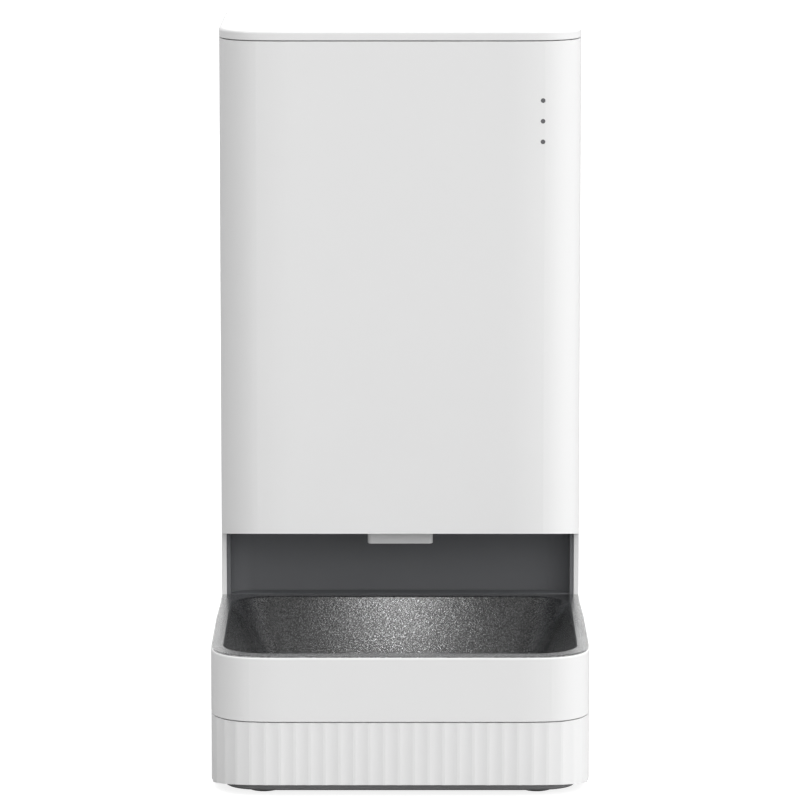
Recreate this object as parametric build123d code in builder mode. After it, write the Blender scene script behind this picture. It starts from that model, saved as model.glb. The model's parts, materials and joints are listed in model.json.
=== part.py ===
"""Smart pet feeder: tower with a lift-out food bin, metering rotor, steel bowl and fluted base.

Millimetres, +Z up, the front towards -Y, origin on the floor under the middle of the base.
"""

import os
from math import atan2, cos, pi, radians, sin, sqrt

from build123d import *

# Overall sizes
base_width = 195.0
base_depth = 315.0
total_height = 380.0
tower_step = 0.7

# Walls and clearances
wall = 2.5
thin_wall = 1.8
fit_gap = 0.3
seam_gap = 0.6
edge_round = 1.0

# Soft vertical corners: a tight arc between two wide ones
corner_wide = 90.0
corner_tight = 23.5
corner_ease = 10.0

# Heights above the floor
plate_bottom = 2.2
skirt_bottom = 3.4
toe_lift = 3.0
toe_length = 21.0
tray_floor_bottom = 7.2
tray_floor = 2.5
base_seam = 39.05
rim_height = 73.2
chin_height = 111.0
chin_slope = 0.172
lid_thickness = 4.85

# Flutes of the skirt
flute_pitch = 7.6
flute_land = 1.3
flute_depth = 0.35

# Feet and underside
foot_radius = 8.0
foot_side = 27.5
foot_inset = 21.0
plate_inset = 6.0
screw_radius = 1.5
screw_head_radius = 3.0
screw_head = 1.6

# Bowl and surround
bowl_side = 7.0
bowl_front_inset = 8.8
bowl_under_tower = 20.3
bowl_corner = 22.0
bowl_floor_corner = 16.0
bowl_depth = 34.0
bowl_slope = 0.55
bowl_wall = 0.8
bowl_mouth_round = 1.2
bowl_floor_round = 9.0
flange_inset = 0.5
well_gap = 1.3
surround_under_tower = 26.7
taper_before = 35.0
taper_after = 5.0

# Recess below the chin
recess_depth = 39.3
recess_corner = 12.0
liner_thickness = 2.0
liner_lift = 8.0
chin_depth = 27.0

# Nozzle and chute
nozzle_width = 35.0
nozzle_setback = 11.0
nozzle_length = 18.0
nozzle_drop = 7.4
collar_lift = 3.0
chute_width = 44.0
chute_margin = 1.0

# Metering rotor
rotor_setback = 93.0
deck_lift = 40.0
deck_thickness = 3.0
cup_inner_radius = 46.0
cup_wall = 2.5
cup_floor = 3.0
cup_height = 30.0
cup_ledge = 2.0
outlet_inner_radius = 19.0
outlet_half_angle = 28.0
blade_count = 6
blade_thickness = 3.0
hub_radius = 13.0
shaft_radius = 4.0
running_gap = 0.05
bush_wall = 2.5

# Gears
gear_module = 1.5
drive_teeth = 32
pinion_teeth = 14
gear_height = 8.0
gear_drop = 35.0
gear_backlash = 0.12
gear_plate_thickness = 3.0
gear_plate_drop = 5.0
motor_radius = 18.0
motor_height = 42.0
motor_shaft_radius = 2.5
motor_room = 41.8

# Food bin
bin_setback = 12.0
bin_side_gap = 3.3
bin_rear_gap = 2.5
bin_wall = 2.0
bin_corner = 22.0
bin_rim_drop = 4.4
funnel_height = 42.0
gasket_thickness = 1.0

# Lid
lid_pan_depth = 12.0
desiccant_radius = 31.0
desiccant_height = 16.0
desiccant_slots = 12

# Inner frame
leg_size = 10.0
leg_side = 17.8
leg_setback = 48.5
leg_rear_inset = 17.3

# Boards
board_thickness = 1.6
board_width = 96.0
board_height = 62.0
board_bottom = 66.0
board_standoff = 6.0

# Indicators
indicator_side = 21.3
indicator_drop = 36.8
indicator_pitch = 10.95
indicator_radius = 1.2

# Internal wires
wire_radius = 0.8
wire_hole = 3.0
wire_turn = 0.45
wire_bend = 16.0

# Rear panel
inlet_x = -36.0
inlet_height = 54.0
inlet_radius = 5.2
inlet_length = 12.0
socket_radius = 2.9
socket_depth = 9.0
socket_pin_radius = 0.95
button_x = 36.0
button_height = 90.0
button_radius = 4.0
button_travel = 1.2
button_proud = 0.6

# Backup batteries
bay_margin = 7.0
bay_reach = 91.5
bay_length = 67.0
bay_height = 36.0
door_margin = 3.0
door_rail = 1.2
door_rail_height = 0.8

# Worked out from the sizes above
front = -base_depth / 2
rear = base_depth / 2
tower_width = base_width - 2 * tower_step
tower_rear = rear - tower_step
motor_y = tower_rear - motor_room
rotor_y = motor_y - gear_module * (drive_teeth + pinion_teeth) / 2
tower_front = rotor_y - rotor_setback
seam_top = base_seam + seam_gap / 2
seam_bottom = base_seam - seam_gap / 2
lid_bottom = total_height - lid_thickness
tower_top = lid_bottom - seam_gap
tray_floor_top = tray_floor_bottom + tray_floor
nozzle_bottom = chin_height - nozzle_drop
nozzle_collar = chin_height + collar_lift
deck_top = chin_height + deck_lift
deck_bottom = deck_top - deck_thickness
cup_top = deck_top + cup_height
bin_bottom = cup_top + gasket_thickness
bin_top = tower_top - bin_rim_drop
surround_top = rim_height - bowl_wall
gear_bottom = deck_top - gear_drop
gear_plate_top = gear_bottom - gear_plate_drop
gear_plate_bottom = gear_plate_top - gear_plate_thickness
bin_half_width = tower_width / 2 - wall - bin_side_gap
bin_rear = tower_rear - wall - bin_rear_gap
board_y = tower_rear - wall - board_standoff
foot_x = base_width / 2 - foot_side
indicator_x = tower_width / 2 - indicator_side
indicator_top = total_height - indicator_drop

os.makedirs("parts", exist_ok=True)


def write(part, name):
    part.label = name
    export_step(part, f"parts/{name}.step")


def corner_reach(wide, tight):
    # How far along each side one soft corner reaches.
    ease = radians(corner_ease)
    return wide * (sin(ease) + 1 - cos(ease)) + tight * (cos(ease) - sin(ease))


def soft_corner(edge, wide, tight):
    # Three tangent arcs that turn left by a right angle from the end of an edge.
    for radius, turn in ((wide, corner_ease), (tight, 90 - 2 * corner_ease), (wide, corner_ease)):
        edge = JernArc(edge @ 1, edge % 1, radius, turn)
    return edge


def soft_rectangle(width, y_front, y_rear, inset=0.0):
    wide = corner_wide - inset
    tight = corner_tight - inset
    reach = corner_reach(wide, tight)
    half = width / 2 - inset
    depth = y_rear - y_front - 2 * inset
    with BuildSketch() as outline:
        with BuildLine():
            edge = Line((-half + reach, y_front + inset), (half - reach, y_front + inset))
            for run in (depth, 2 * half, depth):
                edge = soft_corner(edge, wide, tight)
                edge = Line(edge @ 1, edge @ 1 + (edge % 1) * (run - 2 * reach))
            soft_corner(edge, wide, tight)
        make_face()
    return outline.sketch


def tower_outline(inset=0.0):
    return soft_rectangle(tower_width, tower_front, tower_rear, inset)


def base_outline(inset=0.0):
    return soft_rectangle(base_width, front, rear, inset)


def path_side(path, place):
    # Unit vector square to the path, to its left, which is inside an anticlockwise outline.
    along = path % place
    return Vector(-along.Y, along.X)


def fluted_outline():
    # Shallow hollow flutes with narrow lands, evenly spaced round the soft outline.
    path = base_outline().face().outer_wire()
    count = round(path.length / flute_pitch)
    land = flute_land / path.length
    pieces = []
    for index in range(count):
        begin = index / count + land / 2
        end = (index + 1) / count - land / 2
        middle = (begin + end) / 2
        deep = path @ middle + path_side(path, middle) * flute_depth
        pieces.append(ThreePointArc(path @ begin, deep, path @ end))
        pieces.append(Line(path @ end, path @ ((end + land) % 1)))
    return make_face(pieces)


def round_rectangle(half_width, y_front, y_rear, corner):
    with BuildSketch() as outline:
        with Locations((0, (y_front + y_rear) / 2)):
            RectangleRounded(2 * half_width, y_rear - y_front, corner)
    return outline.sketch


def bowl_outline(inset, corner):
    return round_rectangle(
        base_width / 2 - bowl_side - inset,
        front + bowl_front_inset + inset,
        tower_front + bowl_under_tower - inset,
        corner,
    )


def tapered(outline_high, z_high, outline_low, z_low, mode=Mode.ADD):
    # Straight-sided loft between two outlines.
    with BuildSketch(Plane.XY.offset(z_low)) as low:
        add(outline_low)
    with BuildSketch(Plane.XY.offset(z_high)) as high:
        add(outline_high)
    loft((low.sketch, high.sketch), ruled=True, mode=mode)


def prism(outline, z_low, z_high, mode=Mode.ADD):
    with BuildSketch(Plane.XY.offset(z_low)) as base:
        add(outline)
    extrude(base.sketch, amount=z_high - z_low, mode=mode)


def block(x_low, x_high, y_low, y_high, z_low, z_high, mode=Mode.ADD):
    with BuildSketch(Plane.XY.offset(z_low)) as base:
        with Locations(((x_low + x_high) / 2, (y_low + y_high) / 2)):
            Rectangle(x_high - x_low, y_high - y_low)
    extrude(base.sketch, amount=z_high - z_low, mode=mode)


def side_profile(points, half_width, mode=Mode.ADD):
    # Prism across the whole width from (y, z) points.
    with BuildSketch(Plane.YZ.offset(-half_width)) as base:
        with BuildLine():
            Polyline(*points, close=True)
        make_face()
    extrude(base.sketch, amount=2 * half_width, mode=mode)


def discs(spots, radius, z_low, z_high, mode=Mode.ADD):
    with BuildSketch(Plane.XY.offset(z_low)) as base:
        with Locations(*spots):
            Circle(radius)
    extrude(base.sketch, amount=z_high - z_low, mode=mode)


def square(spots, x_size, y_size, z_low, z_high, mode=Mode.ADD):
    # Equal rectangular pillars at (x, y) spots.
    with BuildSketch(Plane.XY.offset(z_low)) as base:
        with Locations(*spots):
            Rectangle(x_size, y_size)
    extrude(base.sketch, amount=z_high - z_low, mode=mode)


def screw(spots, z_head, length):
    # Pan heads above the seat and plain shanks below it.
    discs(spots, screw_head_radius, z_head, z_head + screw_head)
    fillet(edges().filter_by(GeomType.CIRCLE).group_by(Axis.Z)[-1], screw_head / 2)
    discs(spots, screw_radius, z_head - length, z_head)


def chin(y):
    # Height of the chin's cut, which falls towards the rear.
    return chin_height - chin_slope * (y - tower_front)


# Base tray with the fluted skirt
bay_half = foot_x - foot_radius - bay_margin
bay_y = rear - bay_reach
bay_rear = bay_y + bay_length
door_half = bay_half + door_margin
tongue_inset = tower_step + wall + 2 * fit_gap
tongue_wall = 1.4
tongue_height = 3.0
rib_drop = 5.0

skirt_outline = fluted_outline()

with BuildPart() as base_tray:
    prism(skirt_outline, skirt_bottom, seam_bottom)
    prism(base_outline(wall), tray_floor_top, seam_bottom, Mode.SUBTRACT)
    prism(base_outline(wall), skirt_bottom, tray_floor_bottom, Mode.SUBTRACT)
    with BuildSketch(Plane.XY.offset(seam_bottom - rib_drop)):
        add(base_outline(wall / 2))
        add(base_outline(tongue_inset + tongue_wall), mode=Mode.SUBTRACT)
    extrude(amount=rib_drop)
    with BuildSketch(Plane.XY.offset(seam_bottom)):
        add(base_outline(tongue_inset))
        add(base_outline(tongue_inset + tongue_wall), mode=Mode.SUBTRACT)
    extrude(amount=tongue_height)
    side_profile(
        (
            (front - wall, skirt_bottom - wall),
            (front - wall, skirt_bottom + toe_lift * (1 + wall / toe_length)),
            (front + toe_length, skirt_bottom),
            (front + toe_length, skirt_bottom - wall),
        ),
        base_width,
        Mode.SUBTRACT,
    )
    block(-bay_half, bay_half, bay_y, bay_rear, tray_floor_bottom, tray_floor_top, Mode.SUBTRACT)
    block(
        -door_half - door_rail - fit_gap,
        door_half + door_rail + fit_gap,
        rear - 2 * wall,
        rear + wall,
        skirt_bottom,
        tray_floor_bottom,
        Mode.SUBTRACT,
    )
write(base_tray.part, "base_tray")

# Underside plate, open towards the rear for the battery door
plate_top = tray_floor_bottom
foot_recess = 1.2
foot_spots = [
    (x, y) for x in (-foot_x, foot_x) for y in (front + foot_inset, rear - foot_inset)
]
plate_screw_spots = [
    (x, y) for x in (-foot_x, 0, foot_x) for y in (front + 3 * foot_inset, bay_y - foot_inset)
]
rail_bottom = plate_bottom + (plate_top - plate_bottom) / 2 - door_rail_height / 2
with BuildPart() as bottom_plate:
    prism(base_outline(plate_inset), plate_bottom, plate_top)
    chamfer(faces().sort_by(Axis.Z)[0].edges(), edge_round)
    block(
        -door_half - fit_gap,
        door_half + fit_gap,
        bay_y - door_margin - fit_gap,
        rear,
        plate_bottom,
        plate_top,
        Mode.SUBTRACT,
    )
    block(
        -door_half - fit_gap - door_rail,
        door_half + fit_gap + door_rail,
        bay_y - door_margin - fit_gap,
        rear,
        rail_bottom - fit_gap,
        rail_bottom + door_rail_height + fit_gap,
        Mode.SUBTRACT,
    )
    discs(foot_spots, foot_radius + fit_gap, plate_bottom, plate_bottom + foot_recess, Mode.SUBTRACT)
    discs(plate_screw_spots, screw_radius + fit_gap, plate_bottom, plate_top, Mode.SUBTRACT)
    discs(
        plate_screw_spots,
        screw_head_radius + fit_gap,
        plate_bottom,
        plate_bottom + screw_head + fit_gap,
        Mode.SUBTRACT,
    )
write(bottom_plate.part, "bottom_plate")

with BuildPart() as plate_screws:
    discs(plate_screw_spots, screw_head_radius, plate_bottom + fit_gap, plate_bottom + fit_gap + screw_head)
    discs(plate_screw_spots, screw_radius, plate_bottom + fit_gap + screw_head, plate_top)
write(plate_screws.part, "plate_screws")

with BuildPart() as rubber_feet:
    discs(foot_spots, foot_radius, 0, plate_bottom + foot_recess)
    fillet(edges().filter_by(GeomType.CIRCLE).group_by(Axis.Z)[0], edge_round)
write(rubber_feet.part, "rubber_feet")

# Battery bay: an open-bottomed case over the opening in the tray's floor
bay_top = tray_floor_top + bay_height
with BuildPart() as battery_case:
    block(
        -bay_half - thin_wall,
        bay_half + thin_wall,
        bay_y - thin_wall,
        bay_rear + thin_wall,
        tray_floor_top,
        bay_top + thin_wall,
    )
    fillet(edges().filter_by(Axis.Z), thin_wall)
    block(-bay_half, bay_half, bay_y, bay_rear, tray_floor_top, bay_top, Mode.SUBTRACT)
write(battery_case.part, "battery_case")

contact_width = 14.0
contact_thickness = 0.5
contact_spots = [x * bay_half * 2 / 3 for x in (-1, 0, 1)]
with BuildPart() as battery_contacts:
    for y_low in (bay_y, bay_rear - contact_thickness):
        for x in contact_spots:
            block(
                x - contact_width / 2,
                x + contact_width / 2,
                y_low,
                y_low + contact_thickness,
                tray_floor_top + bay_height / 2 - contact_width / 2,
                tray_floor_top + bay_height / 2 + contact_width / 2,
            )
write(battery_contacts.part, "battery_contacts")

with BuildPart() as battery_door:
    block(-door_half, door_half, bay_y - door_margin, rear, plate_bottom, plate_top - fit_gap)
    block(
        -door_half - door_rail,
        door_half + door_rail,
        bay_y - door_margin,
        rear - 2 * wall - plate_inset,
        rail_bottom,
        rail_bottom + door_rail_height,
    )
    fillet(edges().filter_by(Axis.Z).group_by(Axis.Y)[-1], edge_round)
write(battery_door.part, "battery_door")

# Surround of the bowl: outer wall, flat rim and well
surround_end = tower_front + surround_under_tower
rim_round = 0.8
rim_thickness = 3.0
well_wall = 2.0
bowl_floor = rim_height - bowl_depth - bowl_wall
bowl_skin = bowl_wall * sqrt(1 + bowl_slope**2)


def surround_outline(inset):
    # Soft front corners, and sides that narrow slightly to meet the tower.
    wide = corner_wide - inset
    tight = corner_tight - inset
    half = base_width / 2 - inset
    end_half = tower_width / 2 - inset
    end = surround_end - inset
    with BuildSketch() as outline:
        with BuildLine():
            edge = Line((0, front + inset), (half - corner_reach(wide, tight), front + inset))
            edge = soft_corner(edge, wide, tight)
            edge = Line(edge @ 1, (half, tower_front - taper_before))
            edge = Line(edge @ 1, (end_half, tower_front + taper_after))
            edge = Line(edge @ 1, (end_half, end))
            Line(edge @ 1, (0, end))
            mirror(about=Plane.YZ)
        make_face()
    return outline.sketch


def dish(grow, z_low, mode=Mode.ADD):
    # The bowl's own shape with its sloping walls, grown outwards by some distance.
    run = bowl_slope * (rim_height - z_low) - grow
    tapered(
        bowl_outline(-grow, bowl_corner + grow),
        rim_height,
        bowl_outline(run, bowl_floor_corner + grow),
        z_low,
        mode,
    )


with BuildPart() as bowl_surround:
    prism(surround_outline(0), seam_top, surround_top)
    top_edges = faces().sort_by(Axis.Z)[-1].edges()
    fillet(top_edges.filter_by(lambda edge: edge.center().Y < surround_end - 1), rim_round)
    prism(surround_outline(wall), seam_top, surround_top - rim_thickness, Mode.SUBTRACT)
    dish(bowl_skin + well_gap + well_wall, bowl_floor - well_gap - well_wall)
    block(-base_width, base_width, front, rear, surround_top, rim_height, Mode.SUBTRACT)
    dish(bowl_skin + well_gap, bowl_floor - well_gap, Mode.SUBTRACT)
    block(
        -base_width / 2 + wall,
        base_width / 2 - wall,
        surround_end - 2 * wall,
        surround_end,
        seam_top,
        seam_bottom + tongue_height + fit_gap,
        Mode.SUBTRACT,
    )
write(bowl_surround.part, "bowl_surround")

# Bowl pressed from sheet, with a flange that covers the surround's rim
with BuildPart() as bowl_hollow:
    dish(0, rim_height - bowl_depth)
    fillet(faces().sort_by(Axis.Z)[0].edges(), bowl_floor_round)

with BuildPart() as steel_bowl:
    dish(bowl_skin, bowl_floor)
    fillet(faces().sort_by(Axis.Z)[0].edges(), bowl_floor_round + bowl_wall)
    prism(surround_outline(flange_inset), surround_top, rim_height)
    add(bowl_hollow.part, mode=Mode.SUBTRACT)
    bowl_top = faces().sort_by(Axis.Z)[-1]
    fillet(bowl_top.inner_wires()[0].edges(), bowl_mouth_round)
    fillet(faces().sort_by(Axis.Z)[-1].outer_wire().edges(), bowl_wall / 2)
write(steel_bowl.part, "steel_bowl")

# Tower: one sleeve, cut away in front below the chin
inlet_spot = [(inlet_x, inlet_height)]
button_spot = [(button_x, button_height)]
indicator_spots = [(indicator_x, indicator_top - index * indicator_pitch) for index in range(3)]
chin_rear = tower_front + chin_depth
board_spots = [
    (x, z)
    for x in (-board_width / 2 + leg_size / 2, board_width / 2 - leg_size / 2)
    for z in (board_bottom + leg_size / 2, board_bottom + board_height - leg_size / 2)
]
boss_radius = 3.5


def rods(spots, radius, y_low, y_high, mode=Mode.ADD):
    # Round bars along Y at (x, z) spots.
    with BuildSketch(Plane.XZ.offset(-y_low)) as base:
        with Locations(*spots):
            Circle(radius)
    extrude(base.sketch, amount=y_low - y_high, mode=mode)


with BuildPart() as tower_shell:
    prism(tower_outline(), seam_top, tower_top)
    prism(tower_outline(wall), seam_top, tower_top, Mode.SUBTRACT)
    side_profile(
        (
            (tower_front - wall, seam_top - wall),
            (tower_front - wall, chin(tower_front - wall)),
            (chin_rear, chin(chin_rear)),
            (chin_rear, seam_top - wall),
        ),
        tower_width,
        Mode.SUBTRACT,
    )
    rods(indicator_spots, indicator_radius + running_gap, tower_front, tower_front + 2 * wall, Mode.SUBTRACT)
    rods(board_spots, boss_radius, board_y, tower_rear - wall / 2)
    rods(board_spots, screw_radius, board_y, tower_rear - wall / 2, Mode.SUBTRACT)
    rods(inlet_spot, inlet_radius + fit_gap, tower_rear - 2 * wall, tower_rear, Mode.SUBTRACT)
    rods(button_spot, button_radius + fit_gap, tower_rear - 2 * wall, tower_rear, Mode.SUBTRACT)
write(tower_shell.part, "tower_shell")

# Recess liner: back panel with rounded corners, sloped ceiling and a shelf level with the bowl's rim
panel_front = tower_front + recess_depth
panel_rear = panel_front + liner_thickness
liner_front = chin_rear + fit_gap
liner_half = tower_width / 2 - wall - seam_gap
liner_bottom = seam_top + liner_lift
nozzle_y = tower_front + nozzle_setback
nozzle_rear = nozzle_y + nozzle_length
nozzle_round = 2.5


def nozzle_outline(grow, corner=nozzle_round):
    return round_rectangle(nozzle_width / 2 + grow, nozzle_y - grow, nozzle_rear + grow, corner)


def liner_outline(inset):
    # Front corners fall outside the kept stretch; only the rear ones show.
    return round_rectangle(
        liner_half - inset,
        panel_front - 4 * recess_corner,
        panel_rear - inset,
        recess_corner + liner_thickness - inset,
    )


with BuildPart() as liner_ceiling:
    prism(tower_outline(wall + fit_gap), chin(panel_rear), chin_height + liner_thickness)
    block(-base_width, base_width, panel_rear, rear, 0, total_height, Mode.SUBTRACT)
    for lift, z_far in ((liner_thickness, total_height), (0, 0)):
        side_profile(
            (
                (tower_front, chin(tower_front) + lift),
                (panel_rear + wall, chin(panel_rear + wall) + lift),
                (panel_rear + wall, z_far),
                (tower_front, z_far),
            ),
            base_width,
            Mode.SUBTRACT,
        )

with BuildPart() as recess_liner:
    prism(liner_outline(0), liner_bottom, chin(panel_rear) + liner_thickness)
    prism(liner_outline(liner_thickness), liner_bottom, rim_height - liner_thickness, Mode.SUBTRACT)
    prism(liner_outline(liner_thickness), rim_height, chin_height, Mode.SUBTRACT)
    block(-base_width, base_width, front, liner_front, liner_bottom, chin_height, Mode.SUBTRACT)
    add(liner_ceiling.part)
    block(
        -nozzle_width / 2 - fit_gap,
        nozzle_width / 2 + fit_gap,
        nozzle_y - fit_gap,
        nozzle_rear + fit_gap,
        chin(nozzle_rear) - wall,
        chin_height + liner_thickness,
        Mode.SUBTRACT,
    )
write(recess_liner.part, "recess_liner")

# Nozzle under the chin and the duct that feeds it
nozzle_flange = 2.0
nozzle_flange_bottom = chin_height + seam_gap
bore_corner = nozzle_round - thin_wall / 2
chute_top = deck_bottom
chute_half = chute_width / 2
chute_top_front = rotor_y - cup_inner_radius + chute_margin
chute_top_rear = rotor_y - outlet_inner_radius * cos(radians(outlet_half_angle)) + chute_margin

with BuildPart() as food_nozzle:
    prism(nozzle_outline(0), nozzle_bottom, nozzle_collar)
    prism(nozzle_outline(nozzle_flange), nozzle_flange_bottom, nozzle_flange_bottom + edge_round)
    prism(nozzle_outline(-thin_wall, bore_corner), nozzle_bottom, nozzle_collar, Mode.SUBTRACT)
    fillet(faces().sort_by(Axis.Z)[0].outer_wire().edges(), edge_round / 2)
write(food_nozzle.part, "food_nozzle")


def chute_mouth(grow, corner):
    return round_rectangle(chute_half + grow, chute_top_front - grow, chute_top_rear + grow, corner)


with BuildPart() as food_chute:
    tapered(chute_mouth(thin_wall, nozzle_round), chute_top, nozzle_outline(0), nozzle_collar)
    tapered(
        chute_mouth(0, bore_corner),
        chute_top,
        nozzle_outline(-thin_wall, bore_corner),
        nozzle_collar,
        Mode.SUBTRACT,
    )
write(food_chute.part, "food_chute")

# Places of the indicators behind the shell's curved front
corner_start = tower_width / 2 - corner_reach(corner_wide, corner_tight)


def corner_depth(x, inset):
    # How far the shell's front has curved back at this distance from the middle.
    radius = corner_wide - inset
    return inset + radius - sqrt(radius**2 - (x - corner_start) ** 2)


guide_width = 6.0
guide_margin = 3.0
guide_thickness = 2.0
pin_face = tower_front + corner_depth(indicator_x, 0)
guide_front = tower_front + corner_depth(indicator_x + guide_width / 2, wall) + fit_gap
guide_rear = guide_front + guide_thickness
guide_bottom = indicator_spots[-1][1] - guide_margin
guide_top = indicator_top + guide_margin
board_left = indicator_x - guide_width
wire_x = board_left + 2 * wire_radius
wire_y = guide_rear + board_thickness / 2

# Inner frame: a deck on four legs that stand on the tray's floor
leg_rows = [tower_front + leg_setback, tower_rear - leg_rear_inset]
leg_x = tower_width / 2 - leg_side
leg_spots = [(side * leg_x, y) for side in (-1, 1) for y in leg_rows]
leg_foot = 12.0
leg_foot_height = 3.0
leg_foot_middle = leg_x - (leg_size + leg_foot) / 2
frame_screw_spots = [(side * leg_foot_middle, y) for side in (-1, 1) for y in leg_rows]
post_radius = 4.0
post_x = 34.0
post_ahead = 13.0
post_behind = 17.0
post_y_front = rotor_y - post_ahead
post_y_rear = motor_y + post_behind
post_spots = [(side * post_x, y) for side in (-1, 1) for y in (post_y_front, post_y_rear)]
cup_flange = 6.0
cup_flange_thickness = 2.0
cup_outer = cup_inner_radius + cup_wall
cup_screw_reach = cup_outer + cup_flange / 2
cup_screw_spots = [
    (cup_screw_reach * sin(radians(turn)), rotor_y + cup_screw_reach * cos(radians(turn)))
    for turn in (45, 135, 225, 315)
]
bush_radius = shaft_radius + running_gap + bush_wall


def outlet_sector(z_low, z_high):
    # Ring sector in front of the rotor's axis, through which the food drops.
    outer = cup_inner_radius - cup_ledge
    inner = outlet_inner_radius
    half = radians(outlet_half_angle)

    def point(radius, turn):
        return (radius * sin(turn), rotor_y - radius * cos(turn))

    with BuildSketch(Plane.XY.offset(z_low)) as base:
        with BuildLine():
            ThreePointArc(point(outer, -half), point(outer, 0), point(outer, half))
            Line(point(outer, half), point(inner, half))
            ThreePointArc(point(inner, half), point(inner, 0), point(inner, -half))
            Line(point(inner, -half), point(outer, -half))
        make_face()
    extrude(base.sketch, amount=z_high - z_low, mode=Mode.SUBTRACT)


def rotor_discs(radius, z_low, z_high, mode=Mode.ADD):
    discs([(0, rotor_y)], radius, z_low, z_high, mode)


with BuildPart() as inner_frame:
    prism(tower_outline(wall + seam_gap), deck_bottom, deck_top)
    square(leg_spots, leg_size, leg_size, tray_floor_top, deck_bottom)
    square(frame_screw_spots, leg_foot, leg_size, tray_floor_top, tray_floor_top + leg_foot_height)
    outlet_sector(deck_bottom, deck_top)
    rotor_discs(bush_radius, deck_bottom, deck_top, Mode.SUBTRACT)
    discs(post_spots, screw_radius, deck_bottom, deck_top, Mode.SUBTRACT)
    discs(post_spots, screw_head_radius + fit_gap, deck_top - screw_head, deck_top, Mode.SUBTRACT)
    discs(cup_screw_spots, screw_radius, deck_bottom, deck_top, Mode.SUBTRACT)
    discs([(wire_x, wire_y)], wire_hole, deck_bottom, deck_top, Mode.SUBTRACT)
    discs(frame_screw_spots, screw_radius, tray_floor_top, tray_floor_top + leg_foot_height, Mode.SUBTRACT)
write(inner_frame.part, "inner_frame")

with BuildPart() as frame_screws:
    screw(frame_screw_spots, tray_floor_top + leg_foot_height, leg_foot_height)
write(frame_screws.part, "frame_screws")

# Metering cup with the outlet in its floor
cup_floor_top = deck_top + cup_floor
with BuildPart() as metering_cup:
    rotor_discs(cup_outer, deck_top, cup_top)
    rotor_discs(cup_outer + cup_flange, deck_top, deck_top + cup_flange_thickness)
    rotor_discs(cup_outer + cup_flange, cup_top - cup_flange_thickness, cup_top)
    rotor_discs(cup_inner_radius, cup_floor_top, cup_top, Mode.SUBTRACT)
    rotor_discs(bush_radius, deck_top, cup_floor_top, Mode.SUBTRACT)
    outlet_sector(deck_top, cup_floor_top)
    discs(cup_screw_spots, screw_radius, deck_top, deck_top + cup_flange_thickness, Mode.SUBTRACT)
write(metering_cup.part, "metering_cup")

with BuildPart() as cup_screws:
    screw(cup_screw_spots, deck_top + cup_flange_thickness, cup_flange_thickness + deck_thickness)
write(cup_screws.part, "cup_screws")

# Rotor: hub, soft blades, shaft and stirring finger
blade_bottom = cup_floor_top + seam_gap
blade_top = cup_top - 2 * seam_gap
sleeve_wall = 2.0
shaft_top = blade_top - shaft_radius
finger_radius = 2.5
finger_reach = 30.0
finger_height = 26.0
finger_top = bin_bottom + finger_height

with BuildPart() as rotor_hub:
    rotor_discs(hub_radius, blade_bottom, blade_top)
    chamfer(edges().group_by(Axis.Z)[-1], edge_round)
    rotor_discs(shaft_radius, blade_bottom, shaft_top, Mode.SUBTRACT)
write(rotor_hub.part, "rotor_hub")

with BuildPart() as rotor_blades:
    rotor_discs(hub_radius + sleeve_wall, blade_bottom, blade_top)
    with BuildSketch(Plane.XY.offset(blade_bottom)):
        with Locations((0, rotor_y)):
            with PolarLocations(0, blade_count):
                Rectangle(cup_inner_radius - seam_gap, blade_thickness, align=(Align.MIN, Align.CENTER))
    extrude(amount=blade_top - blade_bottom)
    rotor_discs(hub_radius, blade_bottom, blade_top, Mode.SUBTRACT)
write(rotor_blades.part, "rotor_blades")

with BuildPart() as agitator:
    rotor_discs(hub_radius - edge_round, blade_top, blade_top + 2 * edge_round)
    rotor_discs(2 * finger_radius, blade_top, finger_top)
    fillet(edges().group_by(Axis.Z)[-1], finger_radius)
    for side, z in ((1, finger_top - 4 * finger_radius), (-1, finger_top - 7 * finger_radius)):
        with BuildSketch(Plane.YZ) as arm:
            with Locations((rotor_y, z)):
                Circle(finger_radius)
        extrude(arm.sketch, amount=side * finger_reach)
write(agitator.part, "agitator")

shaft_bottom = gear_plate_bottom - edge_round
with BuildPart() as rotor_shaft:
    rotor_discs(shaft_radius, shaft_bottom, shaft_top)
    chamfer(edges().group_by(Axis.Z)[0], edge_round / 2)
write(rotor_shaft.part, "rotor_shaft")

bush_flange = 1.0


def bush(z_low, z_high, z_flange):
    rotor_discs(bush_radius, z_low, z_high)
    rotor_discs(bush_radius + bush_flange, z_flange, z_flange + bush_flange)
    rotor_discs(shaft_radius + running_gap, z_low - bush_flange, z_high + bush_flange, Mode.SUBTRACT)


with BuildPart() as upper_bush:
    bush(deck_bottom, cup_floor_top, deck_bottom - bush_flange)
write(upper_bush.part, "upper_bush")

with BuildPart() as lower_bush:
    bush(gear_plate_bottom, gear_plate_top, gear_plate_top)
write(lower_bush.part, "lower_bush")

# Gears with involute teeth, in mesh where the drive gear points at the motor
pressure = radians(20)
addendum = 0.85
dedendum = 1.15


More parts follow.
